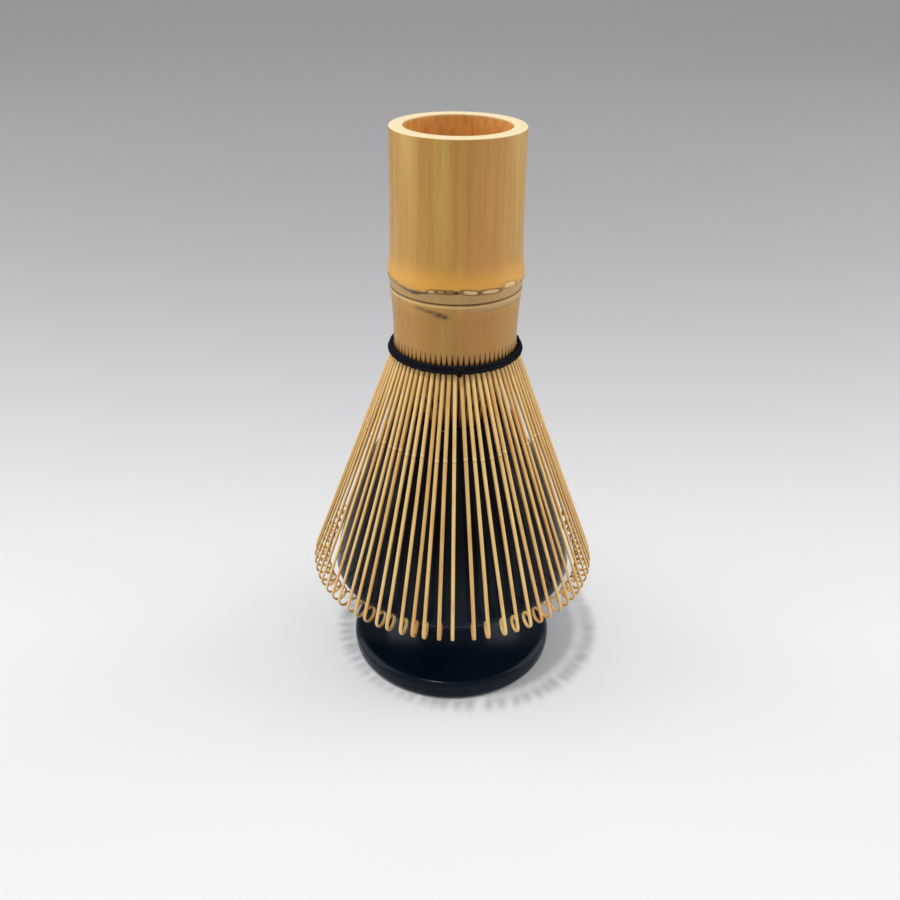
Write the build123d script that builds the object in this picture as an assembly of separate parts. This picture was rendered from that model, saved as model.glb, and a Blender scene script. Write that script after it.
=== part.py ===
"""A bamboo tea whisk resting on its glazed shaping stand.

The whisk is one culm of bamboo: a hollow handle above a node, and below it the
wall is split into an outer and an inner ring of tines, held apart at their roots
by thread.  The stand is a waisted, hollow ceramic form: the inner tines hang in
its well and the outer tines drape over its bell.

Millimetres, +Z up.  The origin is the centre of the stand's foot, on the surface
that it stands on.  A bearing of 0 degrees faces -Y and grows towards +X.
"""

from build123d import *
from math import acos, asin, atan2, cos, degrees, hypot, pi, radians, sin
import os

# --- Stand -------------------------------------------------------------------
FOOT_RADIUS = 24.3
FOOT_RIM_HEIGHT = 4.9
FOOT_RIM_ROUND = 1.7
FOOT_CHAMFER = 0.9
FOOT_RING_RADIUS = 19.5  # inner edge of the ring that touches the surface
FOOT_RECESS = 1.2  # depth of the hollow inside that ring
WAIST_RADIUS = 12.4
WAIST_HEIGHT = 13.4
BELL_RADIUS = 27.9
BELL_EDGE_HEIGHT = 25.4
BELL_EDGE_ROUND = 1.6
BELL_FLOOR_SLOPE = 0.12  # rise over run of the bell's underside near its edge
BELL_BULGE = 2.0  # how far the bell's side swells past a straight cone
STAND_HEIGHT = 65.2
LIP_RADIUS = 11.05  # centre line of the rounded lip round the well
LIP_THICKNESS = 3.1
STAND_WALL = 3.0
WELL_SHOULDER = (24.5, 28.0)  # radius and height where the well is widest
WELL_THROAT_HEIGHT = 15.8  # the well is a plain cylinder from here down
WELL_FLOOR_HEIGHT = 5.8
WELL_FLOOR_ROUND = 2.0

# --- Handle, from the culm ---------------------------------------------------
HANDLE_TOP = 125.8
HANDLE_RADIUS = 13.5
RIM_ROUND = 0.25  # of the sawn end's outer edge
MOUTH_CHAMFER = 0.2  # of its inner edge
GRIP_BOTTOM = 105.0  # the handle is a plain cylinder from here up
BORE_RADIUS = 10.8
BORE_FLOOR = 96.2  # where the bore meets the septum
BORE_DISH = 1.8  # how far the septum's top sinks towards the axis
NODE_SWELL_RADIUS = 14.25
NODE_SWELL_HEIGHT = 96.6
SCAR_HEIGHT = 94.0  # crease that the culm sheath leaves
SCAR_RADIUS = 13.65
SCAR_LIP = 0.22  # how far the culm stands proud just under the crease
SCAR_DEPTH = 0.5
NECK_RADIUS = 13.2
NECK_HEIGHT = 84.0  # the neck is a plain cylinder from here down
ROOT_HEIGHT = 80.3  # where the wall parts into tines
LOWER_BORE_RADIUS = 10.65
SEPTUM_UNDERSIDE = 92.2
SPLIT_HEIGHT = 3.0  # the saw cuts run this far up from the roots
SPLIT_WIDTH = 0.55
SPLIT_OVERRUN = 1.0  # how far each cutting wedge runs past the culm, to cut cleanly

# --- Tines -------------------------------------------------------------------
TINE_COUNT = 72
TINES_PER_GROUP = 6
PITCH = 360 / TINE_COUNT
ROOT_CLEARANCE = 0.1  # lets each group of tines flex under the culm
TINE_TOP = ROOT_HEIGHT - ROOT_CLEARANCE

OUTER_ANGLE = 20.5  # from the vertical
OUTER_ROOT_RADIUS = 13.25
OUTER_WIDTH = 0.82
OUTER_ROOT_THICKNESS = 0.85
OUTER_TIP_THICKNESS = 0.38
LOOP_RADIUS = 1.9
LOOP_HEIGHT = 26.4  # centre of the curled tip
LOOP_TURN = 307.0
LOOP_TURN_VARIATION = 9.0
LEAN_VARIATION = 0.4  # degrees that a tine strays sideways from its own bearing
KNOT_SPREAD = 4.0  # how far the knot pushes the tines past it aside, at most, in degrees
SPREAD_REACH = 22  # tines over which that push swells and fades
SPREAD_START = 3  # how far into that swell the first tine past the knot already is

INNER_ANGLE = 12.5
INNER_ROOT_RADIUS = 11.85
INNER_WIDTH = 0.45
INNER_ROOT_THICKNESS = 0.6
INNER_TIP_THICKNESS = 0.3
INNER_TIP_HEIGHT = 28.0
# Height where a tine starts to bend back, until it hangs straight at its tip.  The
# two kinds alternate, so that their tips stand in two rings.
INNER_BEND_HEIGHTS = (66.5, 79.5)

# --- Thread ------------------------------------------------------------------
THREAD_DIAMETER = 0.95
UPPER_ROW = (13.72, 80.5)  # radius and height of each row's centre
LOWER_ROW = (14.1, 79.69)
SPACER_DIAMETER = 0.45
SPACER_ROW = (12.115, 79.93)
KNOT_BEARING = 3.2
KNOT_RADIUS = 0.95
KNOT_OFFSET = 0.35  # from the lower row's centre line out to the knot's centre
KNOT_SEAT = 0.6  # how far outside that line the knot is cut away below it

OUT = "parts"


def turned(*edges):
    """The solid that a closed outline, drawn as radius and height, sweeps about Z."""
    return revolve(Plane.XZ * make_face(Curve() + list(edges)), Axis.Z)


def at_bearing(shape, bearing):
    """A shape drawn on the +X side, turned to a bearing."""
    return Rot(0, 0, bearing - 90) * shape


def stand():
    """Waisted ceramic form, cast with an even wall, so that its well is hollow."""
    lip = LIP_THICKNESS / 2
    lip_height = STAND_HEIGHT - lip

    foot_edge = FOOT_RADIUS - FOOT_CHAMFER
    foot_side = (FOOT_RADIUS, FOOT_RIM_HEIGHT - FOOT_RIM_ROUND)
    rim_top = (FOOT_RADIUS - FOOT_RIM_ROUND, FOOT_RIM_HEIGHT)
    waist = (WAIST_RADIUS, WAIST_HEIGHT)
    under_bell = (BELL_RADIUS - BELL_EDGE_ROUND, BELL_EDGE_HEIGHT - BELL_EDGE_ROUND)
    bell_edge = (BELL_RADIUS, BELL_EDGE_HEIGHT)
    bell_top = (LIP_RADIUS + lip, lip_height)
    along_floor = (1, BELL_FLOOR_SLOPE)
    outside = [
        Line((FOOT_RING_RADIUS, 0), (foot_edge, 0)),
        Line((foot_edge, 0), (FOOT_RADIUS, FOOT_CHAMFER)),
        Line((FOOT_RADIUS, FOOT_CHAMFER), foot_side),
        JernArc(foot_side, (0, 1), FOOT_RIM_ROUND, 90),
        Spline(rim_top, waist, tangents=[(-1, 0), (0, 1)], tangent_scalars=[1.2, 0.9]),
        Spline(waist, under_bell, tangents=[(0, 1), along_floor], tangent_scalars=[0.9, 1.1]),
        Spline(under_bell, bell_edge, tangents=[along_floor, (-0.19, 1)]),
        SagittaArc(bell_edge, bell_top, -BELL_BULGE),
    ]

    lip_inner = (LIP_RADIUS - lip, lip_height)
    throat = (WAIST_RADIUS - STAND_WALL, WELL_THROAT_HEIGHT)
    round_centre = (throat[0] - WELL_FLOOR_ROUND, WELL_FLOOR_HEIGHT + WELL_FLOOR_ROUND)
    inside = [
        ThreePointArc(bell_top, (LIP_RADIUS, STAND_HEIGHT), lip_inner),
        SagittaArc(lip_inner, WELL_SHOULDER, BELL_BULGE),
        Spline(WELL_SHOULDER, throat, tangents=[(-0.35, -1), (0, -1)]),
        Line(throat, (throat[0], round_centre[1])),
        arc(round_centre, WELL_FLOOR_ROUND, 0, -90),
        Line((round_centre[0], WELL_FLOOR_HEIGHT), (0, WELL_FLOOR_HEIGHT)),
    ]
    underside = [
        Line((0, WELL_FLOOR_HEIGHT), (0, FOOT_RECESS)),
        Line((0, FOOT_RECESS), (FOOT_RING_RADIUS - FOOT_RECESS, FOOT_RECESS)),
        Line((FOOT_RING_RADIUS - FOOT_RECESS, FOOT_RECESS), (FOOT_RING_RADIUS, 0)),
    ]
    return turned(*outside, *inside, *underside)


def splits():
    """The V-shaped cuts between neighbouring tines.

    Each wedge starts just inside the bore, so that no two of them meet.
    """
    half = SPLIT_WIDTH / 2
    slope = half / SPLIT_HEIGHT
    base, top = ROOT_HEIGHT - SPLIT_OVERRUN, ROOT_HEIGHT + SPLIT_HEIGHT
    wide = half + slope * SPLIT_OVERRUN
    outline = Polyline((-wide, base), (wide, base), (0, top), close=True)
    start = LOWER_BORE_RADIUS - SPLIT_OVERRUN
    length = NECK_RADIUS + SPLIT_OVERRUN - start
    wedge = extrude(Plane.YZ.offset(start) * make_face(outline), length)
    return [at_bearing(wedge, PITCH * (i + 0.5)) for i in range(TINE_COUNT)]


def handle():
    """The culm above the roots: hollow grip, node with its septum, and split neck."""
    top_edge = (HANDLE_RADIUS, HANDLE_TOP - RIM_ROUND)
    grip = (HANDLE_RADIUS, GRIP_BOTTOM)
    swell = (NODE_SWELL_RADIUS, NODE_SWELL_HEIGHT)
    scar = (SCAR_RADIUS, SCAR_HEIGHT)
    ridge = (SCAR_RADIUS + SCAR_LIP, SCAR_HEIGHT - SCAR_DEPTH)
    neck = (NECK_RADIUS, NECK_HEIGHT)
    root = (NECK_RADIUS, ROOT_HEIGHT)
    mouth = (BORE_RADIUS, HANDLE_TOP - MOUTH_CHAMFER)
    mouth_edge = (BORE_RADIUS + MOUTH_CHAMFER, HANDLE_TOP)
    # The dish is part of a ball centred on the axis.
    ball_radius = (BORE_RADIUS**2 + BORE_DISH**2) / (2 * BORE_DISH)
    ball_centre = (0, BORE_FLOOR - BORE_DISH + ball_radius)
    half_way = degrees(asin(BORE_RADIUS / ball_radius)) / 2
    dish_bottom = (0, BORE_FLOOR - BORE_DISH)
    outline = [
        Line(root, neck),
        Spline(neck, ridge, tangents=[(0, 1), (0.12, 1)]),
        Line(ridge, scar),
        Spline(scar, swell, tangents=[(0.6, 1), (0, 1)]),
        Spline(swell, grip, tangents=[(0, 1), (0, 1)]),
        Line(grip, top_edge),
        JernArc(top_edge, (0, 1), RIM_ROUND, 90),
        Line((HANDLE_RADIUS - RIM_ROUND, HANDLE_TOP), mouth_edge),
        Line(mouth_edge, mouth),
        Line(mouth, (BORE_RADIUS, BORE_FLOOR)),
        ThreePointArc(
            (BORE_RADIUS, BORE_FLOOR),
            polar(ball_centre, ball_radius, half_way - 90),
            dish_bottom,
        ),
        Line(dish_bottom, (0, SEPTUM_UNDERSIDE)),
        Line((0, SEPTUM_UNDERSIDE), (LOWER_BORE_RADIUS, SEPTUM_UNDERSIDE)),
        Line((LOWER_BORE_RADIUS, SEPTUM_UNDERSIDE), (LOWER_BORE_RADIUS, ROOT_HEIGHT)),
        Line((LOWER_BORE_RADIUS, ROOT_HEIGHT), root),
    ]
    return turned(*outline) - splits()


def polar(centre, radius, angle):
    """The point on a circle at an angle in degrees, as radius and height."""
    a = radians(angle)
    return (centre[0] + radius * cos(a), centre[1] + radius * sin(a))


def tangent_angle(point, centre, radius):
    """The angle at which a line from a point above touches a circle's outer side."""
    dx, dz = point[0] - centre[0], point[1] - centre[1]
    return degrees(atan2(dz, dx) - acos(radius / hypot(dx, dz)))


def arc(centre, radius, start, end):
    """The arc of a circle from one angle to another, in degrees."""
    return ThreePointArc(
        polar(centre, radius, start),
        polar(centre, radius, (start + end) / 2),
        polar(centre, radius, end),
    )


def outer_tine(turn):
    """A strip that thins towards its tip, where it curls inwards by turn degrees."""
    tilt = radians(OUTER_ANGLE)
    root_out = (OUTER_ROOT_RADIUS, TINE_TOP)
    root_in = (OUTER_ROOT_RADIUS - OUTER_ROOT_THICKNESS / cos(tilt), TINE_TOP)
    drop = TINE_TOP - LOOP_HEIGHT
    centre = (
        OUTER_ROOT_RADIUS + drop * sin(tilt) / cos(tilt) - LOOP_RADIUS / cos(tilt),
        LOOP_HEIGHT,
    )
    inside = LOOP_RADIUS - OUTER_TIP_THICKNESS
    touch_in = tangent_angle(root_in, centre, inside)
    end = OUTER_ANGLE - turn
    outline = Curve() + [
        Line(root_out, polar(centre, LOOP_RADIUS, OUTER_ANGLE)),
        arc(centre, LOOP_RADIUS, OUTER_ANGLE, end),
        Line(polar(centre, LOOP_RADIUS, end), polar(centre, inside, end)),
        arc(centre, inside, end, touch_in),
        Line(polar(centre, inside, touch_in), root_in),
        Line(root_in, root_out),
    ]
    return extrude(Plane.XZ * make_face(outline), OUTER_WIDTH / 2, both=True)


def inner_tine(bend_height):
    """A finer strip that leans towards the axis and then bends back to hang straight."""
    tilt = radians(INNER_ANGLE)
    root_out = (INNER_ROOT_RADIUS, TINE_TOP)
    root_in = (INNER_ROOT_RADIUS - INNER_ROOT_THICKNESS / cos(tilt), TINE_TOP)
    bend_radius = (bend_height - INNER_TIP_HEIGHT) / sin(tilt)
    bend_start = INNER_ROOT_RADIUS - (TINE_TOP - bend_height) * sin(tilt) / cos(tilt)
    # The bend's centre lies outside the tine, level with its tip.
    centre = (bend_start + bend_radius * cos(tilt), INNER_TIP_HEIGHT)
    inside = bend_radius + INNER_TIP_THICKNESS
    start = 180 - INNER_ANGLE
    outline = Curve() + [
        Line(root_out, polar(centre, bend_radius, start)),
        arc(centre, bend_radius, start, 180),
        Line(polar(centre, bend_radius, 180), polar(centre, inside, 180)),
        arc(centre, inside, 180, start),
        Line(polar(centre, inside, start), root_in),
        Line(root_in, root_out),
    ]
    return extrude(Plane.XZ * make_face(outline), INNER_WIDTH / 2, both=True)


def lean(i):
    """How far tine i strays sideways, in degrees; the knot pushes those past it aside."""
    wander = LEAN_VARIATION * (0.6 * sin(2.4 * i + 0.7) + 0.4 * sin(5.1 * i))
    pushed = 0.0
    if 1 <= i <= SPREAD_REACH - SPREAD_START:
        pushed = KNOT_SPREAD * sin(pi * (i + SPREAD_START) / SPREAD_REACH)
    return wander + pushed


def leaning(tine, angle):
    """A tine swung sideways about its root."""
    return Pos(0, 0, TINE_TOP) * Rot(angle, 0, 0) * Pos(0, 0, -TINE_TOP) * tine


def outer_group(first):
    """The outer tines of one group, each its own solid."""
    group = []
    for i in range(first, first + TINES_PER_GROUP):
        turn = LOOP_TURN + LOOP_TURN_VARIATION * sin(1.7 * i)
        tine = leaning(outer_tine(turn), lean(i))
        group.append(at_bearing(tine, PITCH * i))
    return group


def inner_group(first):
    """The inner tines of one group, which bend low and high by turns.

    Neighbouring splinters of the wall go out and in by turns, so each inner tine
    hangs between two outer ones.
    """
    kinds = [inner_tine(height) for height in INNER_BEND_HEIGHTS]
    return [
        at_bearing(kinds[i % len(kinds)], PITCH * (i + 0.5))
        for i in range(first, first + TINES_PER_GROUP)
    ]


def ring(row, diameter):
    """One turn of thread round the axis."""
    radius, height = row
    return revolve(Plane.XZ * Pos(radius, height) * Circle(diameter / 2), Axis.Z)


def binding_thread():
    """Two rows of thread that bind the roots, with the knot that ties them off."""
    band = ring(UPPER_ROW, THREAD_DIAMETER) + ring(LOWER_ROW, THREAD_DIAMETER)
    height = (UPPER_ROW[1] + LOWER_ROW[1]) / 2
    knot = Pos(LOWER_ROW[0] + KNOT_OFFSET, 0, height) * Sphere(KNOT_RADIUS)
    # The knot keeps only what stands outside a cone through the band, clear of the tines.
    low, high = height - 2 * KNOT_RADIUS, height + 2 * KNOT_RADIUS
    cone = [(0, low), (LOWER_ROW[0] + KNOT_SEAT, low), (UPPER_ROW[0], high), (0, high)]
    behind = turned(*[Line(a, b) for a, b in zip(cone, cone[1:] + cone[:1])])
    return band + (at_bearing(knot, KNOT_BEARING) - behind)


def write(name, shape):
    """One STEP file for a node, holding its solids."""
    solids = shape if isinstance(shape, list) else [shape]
    found = [s for part in solids for s in part.solids()]
    export_step(Compound(found), os.path.join(OUT, name + ".step"))


def main():
    os.makedirs(OUT, exist_ok=True)
    write("stand", stand())
    write("handle", handle())
    write("binding_thread", binding_thread())
    write("spacer_thread", ring(SPACER_ROW, SPACER_DIAMETER))
    for g in range(TINE_COUNT // TINES_PER_GROUP):
        write(f"outer_tines_{g + 1:02d}", outer_group(g * TINES_PER_GROUP))
        write(f"inner_tines_{g + 1:02d}", inner_group(g * TINES_PER_GROUP))


if __name__ == "__main__":
    main()
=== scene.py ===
from math import asin, cos, degrees, exp, pi, radians, sin, tan
import random

import bmesh
import bpy
import numpy as np
from mathutils import Matrix, Vector


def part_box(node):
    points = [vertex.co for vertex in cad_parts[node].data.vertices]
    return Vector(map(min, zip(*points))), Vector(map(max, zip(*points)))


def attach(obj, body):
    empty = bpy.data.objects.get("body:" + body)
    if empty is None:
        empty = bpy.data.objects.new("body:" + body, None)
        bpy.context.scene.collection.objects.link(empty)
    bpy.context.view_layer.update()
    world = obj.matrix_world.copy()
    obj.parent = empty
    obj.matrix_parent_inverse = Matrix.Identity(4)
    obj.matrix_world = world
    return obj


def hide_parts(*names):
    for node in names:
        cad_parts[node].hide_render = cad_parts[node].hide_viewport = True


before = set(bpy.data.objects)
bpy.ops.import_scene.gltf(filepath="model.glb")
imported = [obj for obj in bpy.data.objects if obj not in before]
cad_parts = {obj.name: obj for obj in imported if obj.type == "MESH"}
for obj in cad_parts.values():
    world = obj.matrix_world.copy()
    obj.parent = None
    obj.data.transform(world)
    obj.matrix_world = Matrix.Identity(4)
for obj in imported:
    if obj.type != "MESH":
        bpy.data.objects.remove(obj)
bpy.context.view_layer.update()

# A bamboo tea whisk on its glazed stand.  Everything below is drawn in millimetres and
# becomes metres in add_mesh().  A bearing of 0 degrees faces -Y and grows towards +X.
MM = 0.001

# --- Tines, as in the CAD ----------------------------------------------------
TINE_COUNT = 72
TINES_PER_GROUP = 6
PITCH = 360 / TINE_COUNT
TINE_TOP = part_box("inner_tines_01")[1].z / MM  # a leaning outer tine's corner is higher

OUTER_ANGLE = 20.5
OUTER_ROOT_RADIUS = 13.23  # keeps the strips' crowned faces just inside the CAD's
OUTER_WIDTH = 0.82
OUTER_ROOT_THICKNESS = 0.85
OUTER_TIP_THICKNESS = 0.38
LOOP_RADIUS = 1.9
LOOP_HEIGHT = 26.4
LOOP_TURN = 307.0
LOOP_TURN_VARIATION = 9.0
STRAIGHT_ROWS = 24  # cross-sections along a tine's straight part
LOOP_ROWS = 34  # and round its curled tip
BAND_HEIGHT = 62.5  # about where a notch of paler wood crosses many of the outer tines
LEAN_VARIATION = 0.4  # degrees that a tine strays sideways from its own bearing
KNOT_SPREAD = 4.0  # how far the knot pushes the tines past it aside, at most, in degrees
SPREAD_REACH = 22  # tines over which that push swells and fades
SPREAD_START = 3  # how far into that swell the first tine past the knot already is

INNER_ANGLE = 12.5
INNER_ROOT_RADIUS = 11.85
INNER_WIDTH = 0.45
INNER_ROOT_FLARE = 0.42  # how much wider an inner strip is where it leaves the culm
INNER_ROOT_THICKNESS = 0.6
INNER_TIP_THICKNESS = 0.3
INNER_TIP_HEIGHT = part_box("inner_tines_01")[0].z / MM
INNER_BEND_HEIGHTS = (66.5, 79.5)

# --- Handle --------------------------------------------------------------------
HANDLE_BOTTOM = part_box("handle")[0].z / MM
HANDLE_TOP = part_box("handle")[1].z / MM
HANDLE_RADIUS = 13.5
BORE_RADIUS = 10.8
LOWER_BORE_RADIUS = 10.65
BORE_FLOOR = 96.2
BORE_DISH = 1.8
SEPTUM_UNDERSIDE = 92.2
SPLIT_HEIGHT = 3.0
SPLIT_WIDTH = 0.55
COLUMNS_PER_TOOTH = 5
# The culm's outside, as (height, radius), from the roots up to the sawn end.
CREASE_HEIGHT = 94.0
CULM_PROFILE = [
    (80.3, 13.2), (84.0, 13.2), (88.0, 13.34), (91.2, 13.58), (92.8, 13.76),
    (93.4, 13.86), (93.72, 13.82), (CREASE_HEIGHT, 13.55), (94.25, 13.78), (95.3, 13.96),
    (96.6, 14.22), (97.6, 14.12), (99.4, 13.86), (103.2, 13.64), (108.5, 13.55),
    (113.4, 13.5), (HANDLE_TOP, 13.5),
]
RIM_ROUND = 0.25
MARKS_FROM, MARKS_TO = 90, 98.5  # heights between which the node's marks lie
GLOW_HEIGHT = 98  # where the skin above the node is most orange
GLOW_SPREAD = 2.6

rng = random.Random(7)

# Root scars under the node, as (bearing, half width in degrees, height above the scar
# line, half height, how dark the rim is, how pale the middle is), the front ones listed.
SCAR_LINE = 96.2
FRONT_SCARS = [
    (-46, 6, 0.05, 0.25, 0.8, 0.0), (-36, 5, 0.0, 0.34, 1.0, 0.0), (-28, 4, 0.0, 0.2, 0.9, 0.0),
    (-20, 3.4, 0.15, 0.4, 1.0, 0.9), (-12.5, 3.3, 0.05, 0.42, 1.0, 0.5), (-5.5, 3.2, 0.0, 0.42, 1.0, 0.3),
    (0.5, 2.4, -0.1, 0.32, 1.0, 0.0), (11.5, 7.2, 0.05, 0.5, 0.85, 1.0), (29, 9.5, 0.1, 0.5, 0.85, 0.95),
    (49, 8.5, 0.6, 0.6, 0.3, 1.0),
]
BACK_SCARS = [
    (
        bearing + rng.uniform(-5, 5), rng.uniform(3, 8), rng.uniform(-0.1, 0.25),
        rng.uniform(0.25, 0.5), rng.uniform(0.5, 1.0), rng.uniform(0.0, 0.9),
    )
    for bearing in range(72, 310, 14)
]
# Smears under the crease, as (bearing, height, half width, half height, strength).
SMEARS = [
    (-31, 92.5, 7, 0.32, 0.6), (-22, 92.2, 7, 0.36, 0.85), (-14, 91.7, 5.5, 0.6, 1.0),
    (-9.5, 91.4, 3.2, 0.55, 1.0), (118, 91.8, 7, 0.4, 0.7), (205, 92.0, 9, 0.34, 0.6),
]

# --- Stand -----------------------------------------------------------------------
STAND_SEGMENTS = 192
FOOT_RADIUS = 24.3
FOOT_RIM_HEIGHT = 4.9
FOOT_RIM_ROUND = 1.7
BELL_RADIUS = 27.9
BELL_BULGE = 2.0
BELL_EDGE_HEIGHT = 25.4
BELL_EDGE_SMOOTH = 0.1  # how far below that height the rounded edge hands over to the side
STAND_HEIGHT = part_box("stand")[1].z / MM
LIP_RADIUS = 11.05  # centre line of the rounded lip round the well
LIP_ROUND = 1.55
FOOT_RECESS = 1.2
WAIST_RADIUS = 12.4
WAIST_HEIGHT = 13.4
WELL_SHOULDER = (24.5, 28.0)
WELL_RADIUS = 9.4
WELL_THROAT_HEIGHT = 15.8
WELL_FLOOR_HEIGHT = 5.8
WELL_FLOOR_ROUND = 2.0

# --- Thread ----------------------------------------------------------------------
UPPER_ROW = (13.72, 80.5)
LOWER_ROW = (14.1, 79.69)
SPACER_ROW = (12.115, 79.93)
SPACER_RADIUS = 0.2
SPACER_WAVE = 0.02
CORE_ROW = (13.75, 80.1)  # a strand behind the plies that fills the gap between the rows
CORE_RADIUS = 0.3
PLY_RADIUS = 0.27
PLY_OFFSET = 0.2
RING_STEPS = 1440
UPPER_TWISTS = 110  # turns that the plies make round each other in one row
LOWER_TWISTS = 112
ROW_WAVE = 0.07  # how far each row rises and falls between the tines
KNOT_BEARING = 3.2
KNOT_HEIGHT = 80.05
KNOT_SIZE = 0.3
KNOT_PROUD = 0.55  # how far outside the lower row the knot's middle lies
KNOT_DEPTH = 0.22

# --- Light ---------------------------------------------------------------------
KEY_STRENGTH = 1.4
SIDE_POWER = 4.6
SURROUND_STRENGTH = 0.46

# --- Camera --------------------------------------------------------------------
CAMERA_PLACE = (-0.00086, -0.1934, 0.1627)  # metres
LOOK_DOWN = 29.41
CAMERA_ROLL = 0.66
SENSOR_WIDTH = 36.0
LENS = 38.72

# --- Floor ---------------------------------------------------------------------
FLOOR_NEAR = (229, 228, 229)
FLOOR_FAR = (159, 157, 159)
FALLOFF_LENGTH = 0.17  # metres behind the object over which the painted falloff darkens the floor
FALLOFF_POWER = 1.2


# ===== Mesh helpers ================================================================

def add_mesh(name, verts, faces, attributes=None):
    """An object from points in millimetres, smooth shaded, with point attributes."""
    mesh = bpy.data.meshes.new(name)
    mesh.from_pydata([tuple(c * MM for c in v) for v in verts], [], faces)
    for key, values in (attributes or {}).items():
        layer = mesh.attributes.new(key, "FLOAT", "POINT")
        layer.data.foreach_set("value", np.asarray(values, np.float32))
    obj = bpy.data.objects.new(name, mesh)
    bpy.context.scene.collection.objects.link(obj)
    tidy = bmesh.new()
    tidy.from_mesh(mesh)
    bmesh.ops.remove_doubles(tidy, verts=tidy.verts, dist=1e-7)
    bmesh.ops.recalc_face_normals(tidy, faces=tidy.faces)
    tidy.to_mesh(mesh)
    tidy.free()
    for polygon in mesh.polygons:
        polygon.use_smooth = True
    return obj


def place(obj, body, node, material):
    """Fits a finished piece to the frame in place of one CAD node."""
    obj.data.materials.append(material)
    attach(obj, body)
    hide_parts(node)


def outward(bearing):
    b = radians(bearing)
    return sin(b), -cos(b)


def to_world(bearing, r, side, z):
    """A point given by its distance out, sideways and up from the axis at a bearing."""
    ux, uy = outward(bearing)
    return r * ux - side * uy, r * uy + side * ux, z


def smooth_step(x, low, high):
    t = np.clip((x - low) / (high - low), 0, 1)
    return t * t * (3 - 2 * t)


def arc_points(centre, radius, start, end, count):
    """Points on a circle in the plane of radius and height, angles in degrees."""
    angles = [radians(start + (end - start) * k / (count - 1)) for k in range(count)]
    return [(centre[0] + radius * cos(a), centre[1] + radius * sin(a)) for a in angles]


def lathe(name, path, segments):
    """A closed solid of revolution from a path of (radius, height)."""
    verts, faces = [], []
    for r, z in path:
        for s in range(segments):
            a = 2 * pi * s / segments
            verts.append((r * cos(a), r * sin(a), z))
    for row in range(len(path) - 1):
        for s in range(segments):
            t = (s + 1) % segments
            a, b = row * segments, (row + 1) * segments
            faces.append((a + s, a + t, b + t, b + s))
    return add_mesh(name, verts, faces)


# ===== Node material helpers ==========================================================

class Graph:
    """A short way to write a node material."""

    def __init__(self, name):
        self.material = bpy.data.materials.new(name)
        self.material.use_nodes = True
        self.tree = self.material.node_tree
        self.tree.nodes.clear()
        self.shader = self.node("ShaderNodeBsdfPrincipled")
        output = self.node("ShaderNodeOutputMaterial")
        self.link(self.shader.outputs[0], output.inputs["Surface"])

    def node(self, kind, **settings):
        made = self.tree.nodes.new(kind)
        for key, value in settings.items():
            setattr(made, key, value)
        return made

    def link(self, source, target):
        self.tree.links.new(source, target)

    def feed(self, socket, value):
        """Links a socket to another node's output, or sets its constant."""
        if isinstance(value, bpy.types.NodeSocket):
            self.link(value, socket)
        else:
            socket.default_value = value

    def set(self, name, value):
        self.feed(self.shader.inputs[name], value)

    def place(self):
        return self.node("ShaderNodeTexCoord").outputs["Object"]

    def height(self):
        split = self.node("ShaderNodeSeparateXYZ")
        self.link(self.place(), split.inputs[0])
        return split.outputs["Z"]

    def attribute(self, name):
        return self.node("ShaderNodeAttribute", attribute_name=name).outputs["Fac"]

    def math(self, operation, a, b=0.0, clamp=False):
        made = self.node("ShaderNodeMath", operation=operation, use_clamp=clamp)
        self.feed(made.inputs[0], a)
        self.feed(made.inputs[1], b)
        return made.outputs[0]

    def combine(self, x, y, z):
        made = self.node("ShaderNodeCombineXYZ")
        for socket, value in zip(made.inputs, (x, y, z)):
            self.feed(socket, value)
        return made.outputs[0]

    def noise(self, scale, stretch=(1, 1, 1), detail=4.0, rough=0.55, at=None):
        mapping = self.node("ShaderNodeMapping")
        mapping.inputs["Scale"].default_value = stretch
        self.link(at or self.place(), mapping.inputs[0])
        made = self.node("ShaderNodeTexNoise")
        made.inputs["Scale"].default_value = scale
        made.inputs["Detail"].default_value = detail
        made.inputs["Roughness"].default_value = rough
        self.link(mapping.outputs[0], made.inputs["Vector"])
        return made.outputs["Fac"]

    def ramp(self, value, low, high):
        made = self.node("ShaderNodeMapRange", interpolation_type="SMOOTHSTEP")
        self.feed(made.inputs["Value"], value)
        made.inputs["From Min"].default_value = low
        made.inputs["From Max"].default_value = high
        return made.outputs["Result"]

    def mix(self, factor, a, b, blend="MIX"):
        made = self.node("ShaderNodeMix", data_type="RGBA", blend_type=blend)
        self.feed(made.inputs["Factor"], factor)
        self.feed(made.inputs[6], a)
        self.feed(made.inputs[7], b)
        return made.outputs[2]

    def bump(self, height, strength, distance):
        made = self.node("ShaderNodeBump")
        made.inputs["Strength"].default_value = strength
        made.inputs["Distance"].default_value = distance
        self.feed(made.inputs["Height"], height)
        self.link(made.outputs[0], self.shader.inputs["Normal"])


def srgb(r, g, b):
    """A colour as the eye sees it, 0 to 255, as the linear values that shaders use."""
    def linear(c):
        c /= 255
        return c / 12.92 if c <= 0.04045 else ((c + 0.055) / 1.055) ** 2.4
    return (linear(r), linear(g), linear(b), 1.0)


# ===== Materials ======================================================================

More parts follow.
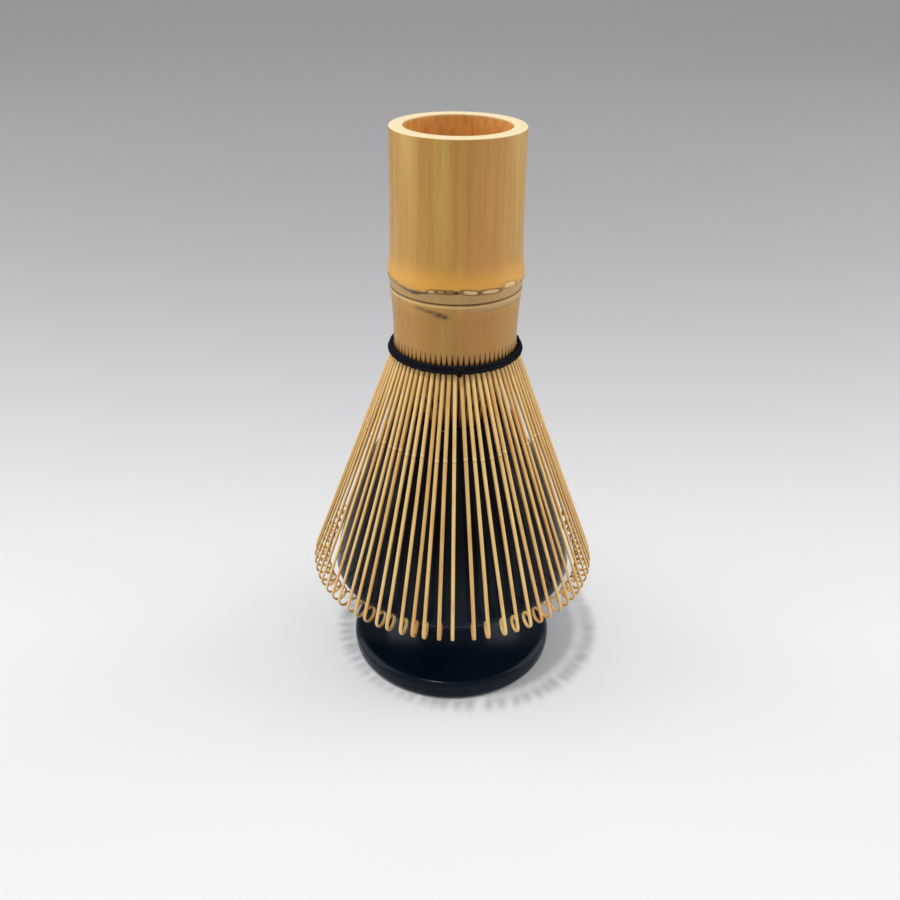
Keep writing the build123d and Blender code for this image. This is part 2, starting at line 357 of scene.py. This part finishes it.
def culm_material():
    """Bamboo skin: fine fibres, streaks of pale, pink and green, the node's marks, and painted shade on the
    neck and in the saw cuts.
    """
    g = Graph("bamboo_culm")
    fibre = g.noise(2600, (1, 1, 0.02), detail=3.0)
    streak = g.noise(330, (1, 1, 0.03), detail=3.0)
    broad = g.noise(95, (1, 1, 0.1), detail=2.0)
    colour = g.mix(g.ramp(streak, 0.3, 0.7), srgb(179, 129, 52), srgb(196, 147, 64))
    colour = g.mix(g.math("MULTIPLY", g.ramp(broad, 0.52, 0.68), 0.6), colour, srgb(198, 135, 75))
    colour = g.mix(g.math("MULTIPLY", g.ramp(broad, 0.47, 0.32), 0.6), colour, srgb(200, 167, 85))
    colour = g.mix(g.math("MULTIPLY", g.ramp(fibre, 0.5, 0.72), 0.3), colour, srgb(156, 108, 48))
    colour = g.mix(g.math("MULTIPLY", g.attribute("glow"), 0.75), colour, srgb(224, 160, 58))
    # Painted shade: the neck under the node's swell is darkened towards a browner tan, for the shadow that
    # the swell casts there.
    painted_neck_shade = g.ramp(g.height(), 0.0935, 0.09)
    colour = g.mix(g.math("MULTIPLY", painted_neck_shade, 0.5), colour, srgb(160, 112, 48))
    node_band = g.math("MULTIPLY", g.ramp(g.height(), 0.0938, 0.0942), g.ramp(g.height(), 0.0965, 0.0959))
    colour = g.mix(g.math("MULTIPLY", node_band, 0.6), colour, srgb(176, 146, 96))
    colour = g.mix(g.attribute("pale"), colour, srgb(216, 182, 122))
    colour = g.mix(g.attribute("green"), colour, srgb(168, 152, 106))
    flecks = g.noise(900, (1, 1, 0.35), detail=5.0)
    bore = g.mix(g.ramp(flecks, 0.4, 0.7), srgb(240, 178, 92), srgb(222, 148, 80))
    colour = g.mix(g.attribute("bore"), colour, bore)
    pores = g.node("ShaderNodeTexVoronoi")
    pores.inputs["Scale"].default_value = 2300
    g.link(g.place(), pores.inputs["Vector"])
    dots = g.math("MULTIPLY", g.ramp(pores.outputs["Distance"], 0.3, 0.12), 0.35)
    sawn = g.mix(dots, srgb(250, 228, 180), srgb(206, 162, 102))
    colour = g.mix(g.attribute("sawn"), colour, sawn)
    # This dark colour serves both the node's real stains and painted shade in the saw cuts between the
    # tines' roots.
    smudge = g.noise(1500, detail=4.0)
    stain_and_cut_shade = g.mix(g.ramp(smudge, 0.4, 0.65), srgb(58, 34, 12), srgb(104, 62, 26))
    colour = g.mix(g.attribute("stain_and_cut_shade"), colour, stain_and_cut_shade)
    g.set("Base Color", colour)
    g.set("Roughness", g.math("ADD", g.math("MULTIPLY", fibre, 0.2), 0.34))
    g.set("Specular IOR Level", 0.35)
    g.set("Coat Weight", 0.2)
    g.set("Coat Roughness", 0.28)
    g.bump(g.math("ADD", fibre, g.math("MULTIPLY", streak, 0.6)), 0.22, 0.00006)
    return g.material


def tine_material(name, light, dark, edge, rust):
    """Split bamboo: fibres along each strip, a shade of its own, sides darkened partly with painted shade,
    and a pale notch.
    """
    g = Graph(name)
    across = g.attribute("across")
    own = g.attribute("own_shade")
    height = g.height()
    strip = g.combine(across, g.math("MULTIPLY", own, 60.0), height)
    fibre = g.noise(1.0, (2.6, 1, 55), detail=3.0, at=strip)
    drift = g.noise(1.0, (0.4, 1, 105), detail=2.0, at=strip)
    colour = g.mix(own, light, dark)
    colour = g.mix(g.math("MULTIPLY", g.ramp(drift, 0.5, 0.68), 0.75), colour, rust)
    colour = g.mix(g.math("MULTIPLY", g.ramp(fibre, 0.5, 0.72), 0.45), colour, edge)
    # The strips' sides are darkened towards the edge colour: partly the split wood's own darker sides,
    # partly painted shade.
    rim = g.ramp(g.math("ABSOLUTE", across), 0.6, 1.0)
    colour = g.mix(g.math("MULTIPLY", rim, 0.45), colour, edge)
    off_band = g.math("SUBTRACT", g.math("MULTIPLY", height, 1 / MM), g.attribute("band"))
    notch = g.ramp(g.math("ABSOLUTE", off_band), 0.24, 0.08)
    colour = g.mix(g.math("MULTIPLY", notch, 0.45), colour, srgb(255, 232, 176))
    under = g.ramp(g.math("ABSOLUTE", g.math("ADD", off_band, 0.45)), 0.28, 0.08)
    colour = g.mix(g.math("MULTIPLY", under, 0.35), colour, edge)
    g.set("Base Color", colour)
    g.set("Roughness", g.math("ADD", g.math("MULTIPLY", fibre, 0.22), 0.36))
    g.bump(g.math("ADD", fibre, notch), 0.25, 0.00004)
    return g.material


def thread_material():
    """Black cotton with a little fuzz."""
    g = Graph("black_thread")
    fuzz = g.noise(5200, detail=5.0)
    g.set("Base Color", g.mix(g.ramp(fuzz, 0.4, 0.8), srgb(6, 7, 12), srgb(24, 27, 38)))
    g.set("Roughness", 0.9)
    g.set("Specular IOR Level", 0.2)
    g.bump(fuzz, 0.5, 0.00008)
    return g.material


def glaze_material():
    """Blue-black glaze, a little uneven, bluer low down with painted reflection, with bare clay on the ring
    that it stands on.
    """
    g = Graph("black_glaze")
    cloud = g.noise(60, detail=1.0)
    pinholes = g.noise(1500, detail=2.0)
    black = g.mix(g.ramp(cloud, 0.3, 0.75), srgb(6, 8, 12), srgb(10, 13, 20))
    # Low down the glaze is bluer and paler: partly the glaze's own blue-black tone, partly painted
    # reflection of the pale floor on the foot and the bell's lower edge.
    blue_and_painted_reflection = g.mix(g.ramp(cloud, 0.3, 0.75), srgb(8, 19, 33), srgb(12, 26, 42))
    glaze = g.mix(g.ramp(g.height(), 0.045, 0.02), black, blue_and_painted_reflection)
    bare = g.ramp(g.height(), 0.0006, 0.0002)
    g.set("Base Color", g.mix(bare, glaze, srgb(92, 78, 66)))
    gloss = g.math("ADD", g.math("MULTIPLY", cloud, 0.14), 0.14)
    g.set("Roughness", g.math("MAXIMUM", gloss, g.math("MULTIPLY", bare, 0.8)))
    g.set("Specular IOR Level", 0.13)
    g.bump(g.math("ADD", cloud, g.math("MULTIPLY", pinholes, 0.04)), 0.08, 0.0004)
    return g.material


def floor_material():
    """Pale paper with painted shade: it darkens gently behind the object, for the lamps' falloff, like a
    studio sweep.
    """
    g = Graph("pale_floor")
    split = g.node("ShaderNodeSeparateXYZ")
    g.link(g.place(), split.inputs[0])
    # Painted shade: the paper's colour fades from near to far, for the light falling off behind the object.
    behind = g.math("MAXIMUM", split.outputs["Y"], 0.0)
    reach = g.math("POWER", g.math("DIVIDE", behind, FALLOFF_LENGTH), FALLOFF_POWER)
    near = g.math("EXPONENT", g.math("MULTIPLY", reach, -1.0))
    grain = g.math("MULTIPLY", g.noise(30, detail=2.0), 0.08)
    pale = g.mix(grain, srgb(*FLOOR_NEAR), srgb(232, 232, 234))
    g.set("Base Color", g.mix(near, srgb(*FLOOR_FAR), pale))
    g.set("Roughness", 0.85)
    g.set("Specular IOR Level", 0.1)
    return g.material


# ===== Handle =========================================================================

def culm_radius(z):
    """The culm's radius at a height, on a smooth curve through the profile."""
    heights = [p[0] for p in CULM_PROFILE]
    radii = [p[1] for p in CULM_PROFILE]
    slopes = np.gradient(radii, heights)
    i = min(max(int(np.searchsorted(heights, z)) - 1, 0), len(heights) - 2)
    span = heights[i + 1] - heights[i]
    t = (z - heights[i]) / span
    return (
        (2 * t**3 - 3 * t**2 + 1) * radii[i]
        + (t**3 - 2 * t**2 + t) * span * slopes[i]
        + (3 * t**2 - 2 * t**3) * radii[i + 1]
        + (t**3 - t**2) * span * slopes[i + 1]
    )


def scar_height(bearing):
    """Where the skin ends under the node, on an uneven line round the culm."""
    b = radians(bearing)
    front = 0.5 * exp(-((turn_between(bearing, -5) / 26) ** 2))
    notch = 0.45 * exp(-((turn_between(bearing, -38) / 10) ** 2))
    waves = 0.12 * sin(3 * b + 0.6) + 0.07 * sin(7 * b + 2.0) + 0.04 * sin(17 * b)
    return SCAR_LINE + front - notch + waves


def turn_between(a, b):
    """The shorter turn from one bearing to another, in degrees."""
    return (a - b + 180) % 360 - 180


def node_marks(bearing, z):
    """The culm's marks at a point: dark stain, pale skin, green cast and relief."""
    above = z - scar_height(bearing)
    ragged = 0.75 + 0.25 * sin(5 * radians(bearing))
    stain_and_cut_shade = 0.8 * exp(-((above / 0.16) ** 2)) * ragged
    pale, relief = 0.0, 0.0
    for centre, half_width, rise, half_height, rim, middle in FRONT_SCARS + BACK_SCARS:
        sideways = abs(turn_between(bearing, centre)) / half_width
        if sideways < 1.8:
            # A rounded box: flat above and below, with short round ends.
            reach = (sideways**3.2 + (abs(above - rise) / half_height) ** 3.2) ** (1 / 3.2)
            edge = exp(-(((reach - 1) / 0.24) ** 2))
            inside = 1 - smooth_step(reach, 0.65, 0.95)
            stain_and_cut_shade = max(stain_and_cut_shade * (1 - inside), rim * edge)
            pale = max(pale, middle * inside)
            stain_and_cut_shade = max(stain_and_cut_shade, rim * (1 - middle) * inside)
            relief += 0.08 * inside - 0.06 * edge
    for centre, height, half_width, half_height, strength in SMEARS:
        sideways = turn_between(bearing, centre) / half_width
        stain_and_cut_shade = max(stain_and_cut_shade, strength * exp(-(sideways**2) - ((z - height) / half_height) ** 2))
    crease = exp(-(((z - CREASE_HEIGHT) / 0.17) ** 2))
    stain_and_cut_shade = max(stain_and_cut_shade, crease)
    pale = max(pale, 0.8 * exp(-(((z - CREASE_HEIGHT + 0.5) / 0.2) ** 2)))
    right = exp(-((turn_between(bearing, 42) / 26) ** 2))
    green = 0.85 * right * exp(-(((z - CREASE_HEIGHT + 1.05) / 0.42) ** 2))
    stain_and_cut_shade = max(stain_and_cut_shade, 0.55 * right * exp(-(((z - CREASE_HEIGHT + 1.6) / 0.13) ** 2)))
    relief -= 0.08 * (1 - smooth_step(above, -0.12, 0.1)) * smooth_step(z, 94.2, 94.6)
    return float(stain_and_cut_shade), float(pale), float(green), float(relief)


def culm_rows():
    """The culm's section as rows of (radius, height, kind), from dish to septum."""
    ball = (BORE_RADIUS**2 + BORE_DISH**2) / (2 * BORE_DISH)
    dish = [
        (r, BORE_FLOOR - BORE_DISH + ball - (ball**2 - r**2) ** 0.5, "bore")
        for r in np.linspace(0, BORE_RADIUS, 7)
    ]
    bore = [(BORE_RADIUS, z, "bore") for z in np.linspace(BORE_FLOOR + 2, HANDLE_TOP - 0.5, 14)]
    lip = [(r, z, "sawn") for r, z in arc_points(
        (BORE_RADIUS + 0.15, HANDLE_TOP - 0.15), 0.15, 180, 90, 4)]
    face = [(r, HANDLE_TOP, "sawn") for r in (11.6, 12.4)]
    shoulder = [(r, z, "sawn") for r, z in arc_points(
        (HANDLE_RADIUS - RIM_ROUND, HANDLE_TOP - RIM_ROUND), RIM_ROUND, 90, 25, 4)]
    skin = [HANDLE_TOP - RIM_ROUND, 125.1, 124.0, 122.5]
    skin += list(np.arange(121, 99, -1.0)) + list(np.arange(98.5, 90, -0.1))
    skin += list(np.arange(89.5, HANDLE_BOTTOM + SPLIT_HEIGHT + 0.4, -1.0))
    split = list(np.linspace(HANDLE_BOTTOM + SPLIT_HEIGHT, HANDLE_BOTTOM, 9))
    outside = [(culm_radius(z), z, "skin") for z in skin + split]
    inside = [(LOWER_BORE_RADIUS, z, "bore") for z in split[::-1]]
    septum = [(LOWER_BORE_RADIUS, z, "bore") for z in (86, 89, SEPTUM_UNDERSIDE)]
    septum += [(r, SEPTUM_UNDERSIDE, "bore") for r in (7, 3.5, 0)]
    rows = dish + bore + lip + face + shoulder + outside + inside + septum
    first_split = len(dish + bore + lip + face + shoulder) + len(skin)
    return rows, first_split, len(split)


def handle():
    """The culm, with the scars of its node and the saw cuts between the tines' roots."""
    rows, first_split, split_count = culm_rows()
    per_tooth = COLUMNS_PER_TOOTH + 1
    width = TINE_COUNT * per_tooth
    verts = []
    marks = {key: [] for key in ("stain_and_cut_shade", "pale", "green", "glow", "bore", "sawn")}
    for r, z, kind in rows:
        depth = min(max(1 - (z - HANDLE_BOTTOM) / SPLIT_HEIGHT, 0), 1)
        # The cuts close at the bore, where the inner tines' roots lie behind them.
        cut = SPLIT_WIDTH / 2 * depth if kind == "skin" else 0.0
        half_tooth = PITCH / 2 - degrees(cut / max(r, 1))
        for tooth in range(TINE_COUNT):
            for column in range(per_tooth):
                across = 2 * column / COLUMNS_PER_TOOTH - 1
                bearing = tooth * PITCH + across * half_tooth
                stain_and_cut_shade, pale, green, relief = 0.0, 0.0, 0.0, 0.0
                if kind == "skin" and MARKS_FROM < z < MARKS_TO:
                    stain_and_cut_shade, pale, green, relief = node_marks(bearing, z)
                # Painted shade: the edges of the saw cuts are darkened, for the shade inside the cuts
                # between the teeth.
                if column in (0, COLUMNS_PER_TOOTH) and z < SEPTUM_UNDERSIDE:
                    stain_and_cut_shade = max(stain_and_cut_shade, 0.9 * depth**0.5)
                verts.append(to_world(bearing, r + relief, 0, z))
                marks["stain_and_cut_shade"].append(stain_and_cut_shade)
                marks["pale"].append(pale)
                marks["green"].append(green)
                glow = exp(-(((z - GLOW_HEIGHT) / GLOW_SPREAD) ** 2)) * smooth_step(z, 96.0, 96.8)
                marks["glow"].append(glow if kind == "skin" else 0)
                marks["bore"].append(1.0 if kind == "bore" else 0.0)
                marks["sawn"].append(1.0 if kind == "sawn" else 0.0)
    faces = []
    for row in range(len(rows) - 1):
        for tooth in range(TINE_COUNT):
            for column in range(COLUMNS_PER_TOOTH):
                a = row * width + tooth * per_tooth + column
                faces.append((a, a + 1, a + 1 + width, a + width))
    last = 2 * split_count - 1
    for step in range(split_count - 1):
        for tooth in range(TINE_COUNT):
            for column in (0, COLUMNS_PER_TOOTH):
                place_in_row = tooth * per_tooth + column
                out_a = (first_split + step) * width + place_in_row
                in_a = (first_split + last - step) * width + place_in_row
                faces.append((out_a, out_a + width, in_a - width, in_a))
    obj = add_mesh("culm_handle", verts, faces, marks)
    place(obj, "whisk", "handle", culm_material())


# ===== Tines ==========================================================================

def lean(i):
    """How far tine i strays sideways, in degrees; the knot pushes those past it aside."""
    wander = LEAN_VARIATION * (0.6 * sin(2.4 * i + 0.7) + 0.4 * sin(5.1 * i))
    pushed = 0.0
    if 1 <= i <= SPREAD_REACH - SPREAD_START:
        pushed = KNOT_SPREAD * sin(pi * (i + SPREAD_START) / SPREAD_REACH)
    return wander + pushed


def strip_section(half_width, thickness):
    """The corners of a strip's bevelled section, as (sideways, outward)."""
    bevel = min(0.13, thickness * 0.35)
    w, t = half_width, thickness
    return [
        (-w + bevel, -0.02), (0, 0), (w - bevel, -0.02), (w, -bevel), (w, -t + bevel),
        (w - bevel, -t), (-w + bevel, -t), (-w, -t + bevel), (-w, -bevel),
    ]


def add_strip(store, path, bearing, angle, bow, own_shade, band):
    """Sweeps one tine along rows of (radius, height, normal angle, half width, thickness)."""
    verts, faces, marks = store
    first = len(verts)
    corners = len(strip_section(1, 1))
    for r, z, normal, half_width, thickness in path:
        nr, nz = cos(radians(normal)), sin(radians(normal))
        hang = TINE_TOP - z
        share = hang / (TINE_TOP - LOOP_HEIGHT)
        side = hang * sin(radians(angle)) + bow * sin(pi * min(share, 1))
        level = TINE_TOP - hang * cos(radians(angle))
        for sideways, out in strip_section(half_width, thickness):
            # The root's top is cut level, just clear of the culm.
            height = min(level + out * nz, TINE_TOP)
            verts.append(to_world(bearing, r + out * nr, side + sideways, height))
            marks["across"].append(sideways / half_width)
            marks["own_shade"].append(own_shade)
            marks["band"].append(band)
    for row in range(len(path) - 1):
        for c in range(corners):
            d = (c + 1) % corners
            a, b = first + row * corners, first + (row + 1) * corners
            faces.append((a + c, a + d, b + d, b + c))
    faces.append(tuple(first + c for c in range(corners)))
    end = first + (len(path) - 1) * corners
    faces.append(tuple(end + c for c in reversed(range(corners))))


def outer_path(turn, width):
    """A straight strip that thins towards its tip and curls inwards there."""
    tilt = radians(OUTER_ANGLE)
    root = (OUTER_ROOT_RADIUS, TINE_TOP)
    drop = TINE_TOP - LOOP_HEIGHT
    centre = (
        OUTER_ROOT_RADIUS + drop * tan(tilt) - LOOP_RADIUS / cos(tilt),
        LOOP_HEIGHT,
    )
    touch = arc_points(centre, LOOP_RADIUS, OUTER_ANGLE, OUTER_ANGLE - turn, LOOP_ROWS)
    rows = []
    for k in range(STRAIGHT_ROWS):
        t = k / STRAIGHT_ROWS
        thickness = OUTER_ROOT_THICKNESS + (OUTER_TIP_THICKNESS - OUTER_ROOT_THICKNESS) * t**0.7
        r = root[0] + (touch[0][0] - root[0]) * t
        z = root[1] + (touch[0][1] - root[1]) * t
        rows.append((r, z, OUTER_ANGLE, width / 2, thickness))
    for k, (r, z) in enumerate(touch):
        t = k / (len(touch) - 1)
        rows.append((r, z, OUTER_ANGLE - turn * t, width / 2 * (1 - 0.18 * t), OUTER_TIP_THICKNESS))
    return rows


def inner_path(bend_height, width):
    """A finer strip that leans towards the axis and then bends back to hang straight."""
    tilt = radians(INNER_ANGLE)
    bend_radius = (bend_height - INNER_TIP_HEIGHT) / sin(tilt)
    bend_start = INNER_ROOT_RADIUS - (TINE_TOP - bend_height) * tan(tilt)
    centre = (bend_start + bend_radius * cos(tilt), INNER_TIP_HEIGHT)
    bend = arc_points(centre, bend_radius, 180 - INNER_ANGLE, 180, 24)
    root = (INNER_ROOT_RADIUS, TINE_TOP)
    straight = [
        (root[0] + (bend[0][0] - root[0]) * k / 6, root[1] + (bend[0][1] - root[1]) * k / 6)
        for k in range(6)
    ]
    path = straight + bend
    rows = []
    for k, (r, z) in enumerate(path):
        t = (TINE_TOP - z) / (TINE_TOP - INNER_TIP_HEIGHT)
        thickness = INNER_ROOT_THICKNESS + (INNER_TIP_THICKNESS - INNER_ROOT_THICKNESS) * t
        normal = -INNER_ANGLE * (1 - max(0, k - len(straight)) / (len(bend) - 1))
        flare = INNER_ROOT_FLARE * smooth_step(z, 58, 80)
        rows.append((r, z, normal, (width + flare) / 2, thickness))
    return rows


def new_store():
    return [], [], {"across": [], "own_shade": [], "band": []}


def tines():
    """Both rings of tines, one piece for each group that flexes."""
    outer = tine_material(
        "outer_tine", srgb(238, 202, 130), srgb(216, 170, 98), srgb(176, 124, 62), srgb(218, 154, 78))
    # The inner tines' colours are much darker than the outer tines': painted shade for the dim inside of
    # the outer ring.
    inner = tine_material(
        "inner_tine", srgb(190, 134, 66), srgb(156, 98, 44), srgb(90, 46, 18), srgb(150, 84, 34))
    for group in range(TINE_COUNT // TINES_PER_GROUP):
        number = f"{group + 1:02d}"
        outer_store, inner_store = new_store(), new_store()
        for i in range(group * TINES_PER_GROUP, (group + 1) * TINES_PER_GROUP):
            turn = LOOP_TURN + LOOP_TURN_VARIATION * sin(1.7 * i)
            path = outer_path(turn, OUTER_WIDTH * rng.uniform(0.94, 1.0))
            bow = rng.uniform(-0.28, 0.28)
            band = BAND_HEIGHT + rng.uniform(-0.35, 0.35) if rng.random() < 0.75 else 0.0
            add_strip(outer_store, path, PITCH * i, lean(i), bow, rng.random(), band)
            height = INNER_BEND_HEIGHTS[i % len(INNER_BEND_HEIGHTS)]
            path = inner_path(height, INNER_WIDTH * rng.uniform(0.85, 1.0))
            bow = rng.uniform(-0.05, 0.05)
            add_strip(inner_store, path, PITCH * (i + 0.5), 0.0, bow, rng.random(), 0.0)
        obj = add_mesh(f"outer_tine_strips_{number}", *outer_store)
        place(obj, f"outer_{number}", f"outer_tines_{number}", outer)
        obj = add_mesh(f"inner_tine_strips_{number}", *inner_store)
        place(obj, f"inner_{number}", f"inner_tines_{number}", inner)


# ===== Thread =========================================================================

def add_tube(store, points, radius, sides, closed):
    """A round tube along a list of points."""
    verts, faces = store
    first = len(verts)
    count = len(points)
    for k in range(count):
        before = points[(k - 1) % count] if closed else points[max(k - 1, 0)]
        after = points[(k + 1) % count] if closed else points[min(k + 1, count - 1)]
        along = (Vector(after) - Vector(before)).normalized()
        side = along.cross(Vector((0.13, 0.21, 0.97))).normalized()
        up = along.cross(side)
        for s in range(sides):
            a = 2 * pi * s / sides
            verts.append(tuple(Vector(points[k]) + (side * cos(a) + up * sin(a)) * radius))
    for k in range(count if closed else count - 1):
        for s in range(sides):
            t = (s + 1) % sides
            a, b = first + k * sides, first + ((k + 1) % count) * sides
            faces.append((a + s, a + t, b + t, b + s))
    if not closed:
        faces.append(tuple(first + s for s in reversed(range(sides))))
        faces.append(tuple(first + (count - 1) * sides + s for s in range(sides)))


def twisted_ring(store, row, twists, wave, phase):
    """Two plies twisted round a ring that rises and falls between the tines."""
    for ply in range(2):
        points = []
        for k in range(RING_STEPS):
            bearing = 360 * k / RING_STEPS
            turn = radians(bearing * twists) + ply * pi
            rise = wave * sin(radians(bearing * TINE_COUNT / 2) + phase)
            r = row[0] + PLY_OFFSET * cos(turn)
            points.append(to_world(bearing, r, 0, row[1] + rise + PLY_OFFSET * sin(turn)))
        add_tube(store, points, PLY_RADIUS, 7, True)


def knot_points():
    """A small overhand knot that lies against the band."""
    points = []
    for k in range(60):
        t = 2 * pi * k / 60
        side = (sin(t) + 2 * sin(2 * t)) * KNOT_SIZE
        rise = (cos(t) - 2 * cos(2 * t)) * KNOT_SIZE
        depth = -sin(3 * t) * KNOT_DEPTH
        r = LOWER_ROW[0] + KNOT_PROUD + depth
        points.append(to_world(KNOT_BEARING, r, side, KNOT_HEIGHT + rise))
    return points


def thread():
    black = thread_material()
    store = [], []
    twisted_ring(store, UPPER_ROW, UPPER_TWISTS, ROW_WAVE, 0.0)
    twisted_ring(store, LOWER_ROW, LOWER_TWISTS, ROW_WAVE, pi)
    core = [to_world(k, CORE_ROW[0], 0, CORE_ROW[1]) for k in range(360)]
    add_tube(store, core, CORE_RADIUS, 8, True)
    add_tube(store, knot_points(), 0.3, 8, True)
    obj = add_mesh("binding_thread_plies", *store)
    place(obj, "whisk", "binding_thread", black)
    store = [], []
    points = [
        to_world(k / 3, SPACER_ROW[0] + SPACER_WAVE * sin(radians(k * 24)), 0, SPACER_ROW[1])
        for k in range(1080)
    ]
    add_tube(store, points, SPACER_RADIUS, 8, True)
    obj = add_mesh("spacer_thread_strand", *store)
    place(obj, "whisk", "spacer_thread", black)


# ===== Stand ==========================================================================

def bezier(start, start_pull, end_pull, end, count=16):
    """Points on a cubic curve between two points."""
    out = []
    for k in range(count + 1):
        t = k / count
        weights = ((1 - t) ** 3, 3 * t * (1 - t) ** 2, 3 * t * t * (1 - t), t**3)
        corners = (start, start_pull, end_pull, end)
        out.append(tuple(sum(w * c[axis] for w, c in zip(weights, corners)) for axis in (0, 1)))
    return out


def sagitta_arc(start, end, rise, count):
    """Points on an arc whose middle stands rise to the left of the straight way."""
    p, q = np.array(start), np.array(end)
    half = np.linalg.norm(q - p) / 2
    along = (q - p) / (2 * half)
    left = np.array((-along[1], along[0]))
    radius = (half**2 + rise**2) / (2 * rise)
    centre = (p + q) / 2 + left * (rise - radius)
    widest = asin(half / abs(radius))
    return [
        tuple(centre + left * radius * cos(a) + along * abs(radius) * sin(a))
        for a in np.linspace(-widest, widest, count)
    ]


def stand():
    """The glazed form: foot, waist, bell, rounded lip, hollow well and foot ring."""
    lip_centre = (LIP_RADIUS, STAND_HEIGHT - LIP_ROUND)
    foot_centre = (FOOT_RADIUS - FOOT_RIM_ROUND, FOOT_RIM_HEIGHT - FOOT_RIM_ROUND)
    edge = (BELL_RADIUS, BELL_EDGE_HEIGHT)
    path = [(0, FOOT_RECESS), (17.5, FOOT_RECESS), (18.3, FOOT_RECESS), (19.4, 0.05), (19.6, 0)]
    path += [(23.2, 0), (23.5, 0.05)]
    path += bezier((23.7, 0.2), (24.1, 0.6), (24.3, 1.2), (FOOT_RADIUS, 2.6), 8)
    path += arc_points(foot_centre, FOOT_RIM_ROUND, 0, 90, 12)
    path += bezier(
        (22.5, FOOT_RIM_HEIGHT), (18.0, FOOT_RIM_HEIGHT),
        (WAIST_RADIUS, 8.75), (WAIST_RADIUS, WAIST_HEIGHT), 22)
    path += bezier((WAIST_RADIUS, 13.6), (WAIST_RADIUS, 19.6), (21.6, 23.22), (26.1, 23.78), 20)
    path += bezier(
        (26.3, 23.8), (27.2, 23.9), (27.98, 24.4), (BELL_RADIUS, BELL_EDGE_HEIGHT - BELL_EDGE_SMOOTH), 8)
    path += sagitta_arc(edge, (LIP_RADIUS + LIP_ROUND, lip_centre[1]), -BELL_BULGE, 40)
    path += arc_points(lip_centre, LIP_ROUND, 0, 180, 14)[1:-1]
    path += sagitta_arc((LIP_RADIUS - LIP_ROUND, lip_centre[1]), WELL_SHOULDER, BELL_BULGE, 24)
    path += bezier((24.4, 27.8), (21.9, 20.4), (WELL_RADIUS, 25.7), (WELL_RADIUS, WELL_THROAT_HEIGHT), 16)
    path += [(WELL_RADIUS, 12.0), (WELL_RADIUS, 8.0)]
    path += arc_points(
        (WELL_RADIUS - WELL_FLOOR_ROUND, WELL_FLOOR_HEIGHT + WELL_FLOOR_ROUND), WELL_FLOOR_ROUND, 0, -90, 6)
    path += [(3.5, WELL_FLOOR_HEIGHT), (0, WELL_FLOOR_HEIGHT)]
    obj = lathe("stand_glazed", path, STAND_SEGMENTS)
    place(obj, "stand", "stand", glaze_material())


# ===== Stage, light and camera ========================================================

def floor():
    bpy.ops.mesh.primitive_plane_add(size=12, location=(0, 0, 0))
    obj = bpy.context.object
    obj.name = "floor"
    obj.data.materials.append(floor_material())


def add_light(name, kind, place_at, aim, colour):
    """A lamp of any kind that points from one place towards another."""
    light = bpy.data.lights.new(name, kind)
    light.color = colour
    obj = bpy.data.objects.new(name, light)
    obj.location = place_at
    direction = Vector(aim) - Vector(place_at)
    obj.rotation_euler = direction.to_track_quat("-Z", "Y").to_euler()
    bpy.context.scene.collection.objects.link(obj)
    return light


def softbox(name, place_at, size, power, colour):
    light = add_light(name, "AREA", place_at, (0, 0, 0.06), colour)
    light.shape = "RECTANGLE"
    light.size, light.size_y = size
    light.energy = power


def lights():
    """A key almost overhead, wide dim boxes at both sides, and an even pale surround."""
    key = add_light("key", "SUN", (-0.155, -0.2, 1.0), (0, 0, 0), (1.0, 0.975, 0.94))
    key.energy = KEY_STRENGTH
    key.angle = radians(5.2)
    softbox("left_box", (-0.85, 0.1, 0.45), (0.8, 1.0), SIDE_POWER, (0.95, 0.98, 1.0))
    softbox("right_box", (0.85, 0.15, 0.45), (0.8, 1.0), SIDE_POWER, (1.0, 0.98, 0.96))
    world = bpy.data.worlds.new("studio")
    world.use_nodes = True
    background = world.node_tree.nodes["Background"]
    background.inputs["Color"].default_value = (0.90, 0.97, 1.0, 1.0)
    background.inputs["Strength"].default_value = SURROUND_STRENGTH
    bpy.context.scene.world = world
    bpy.context.scene.view_settings.view_transform = "Standard"


def camera():
    """Stands in front, looks down at the object and is rolled a little."""
    data = bpy.data.cameras.new("camera")
    data.sensor_width = SENSOR_WIDTH
    data.lens = LENS
    obj = bpy.data.objects.new("camera", data)
    tilt = Matrix.Rotation(radians(90 - LOOK_DOWN), 4, "X")
    roll = Matrix.Rotation(radians(CAMERA_ROLL), 4, "Z")
    obj.matrix_world = Matrix.Translation(CAMERA_PLACE) @ tilt @ roll
    data.clip_start, data.clip_end = 0.01, 50
    bpy.context.scene.collection.objects.link(obj)
    bpy.context.scene.camera = obj


handle()
tines()
thread()
stand()
floor()
lights()
camera()
